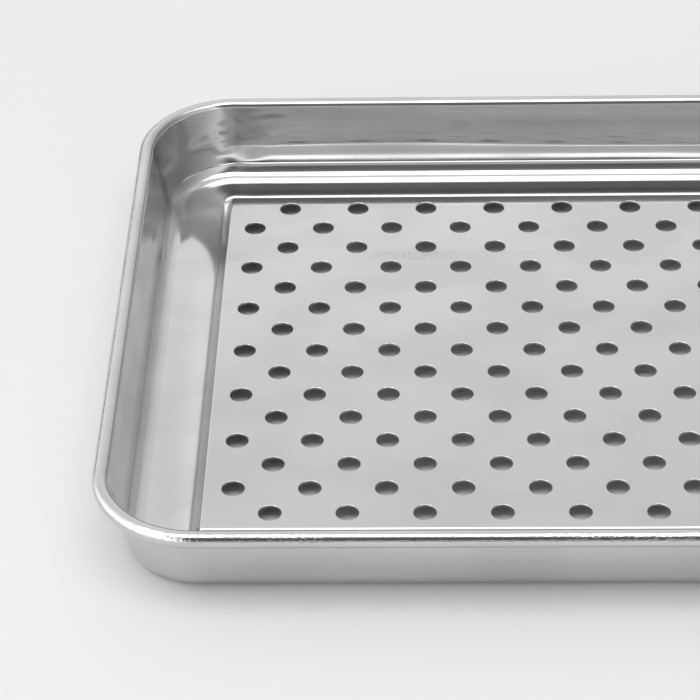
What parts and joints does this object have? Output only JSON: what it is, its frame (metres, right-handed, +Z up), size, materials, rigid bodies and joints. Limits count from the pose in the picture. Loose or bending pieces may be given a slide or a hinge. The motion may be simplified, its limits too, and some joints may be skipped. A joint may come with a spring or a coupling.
{
  "type": "perforated baking tray",
  "caption": "Rectangular stainless steel baking tray: raised perforated floor, drain channel round it, low sloping walls with round corners and a wired rolled rim.",
  "frame": {"origin": "centre of the tray's footprint, on the surface that the tray stands on", "axes": "+X along the long side, +Y along the short side, +Z up"},
  "size_m": [0.3684, 0.2052, 0.0234],
  "materials": {
    "polished_stainless": "bright, press-polished stainless sheet",
    "drawn_wire": "drawn steel wire"
  },
  "bodies": {
    "root": {"pressed_tray": "polished_stainless", "rim_wire": "drawn_wire"}
  },
  "joints": []
}
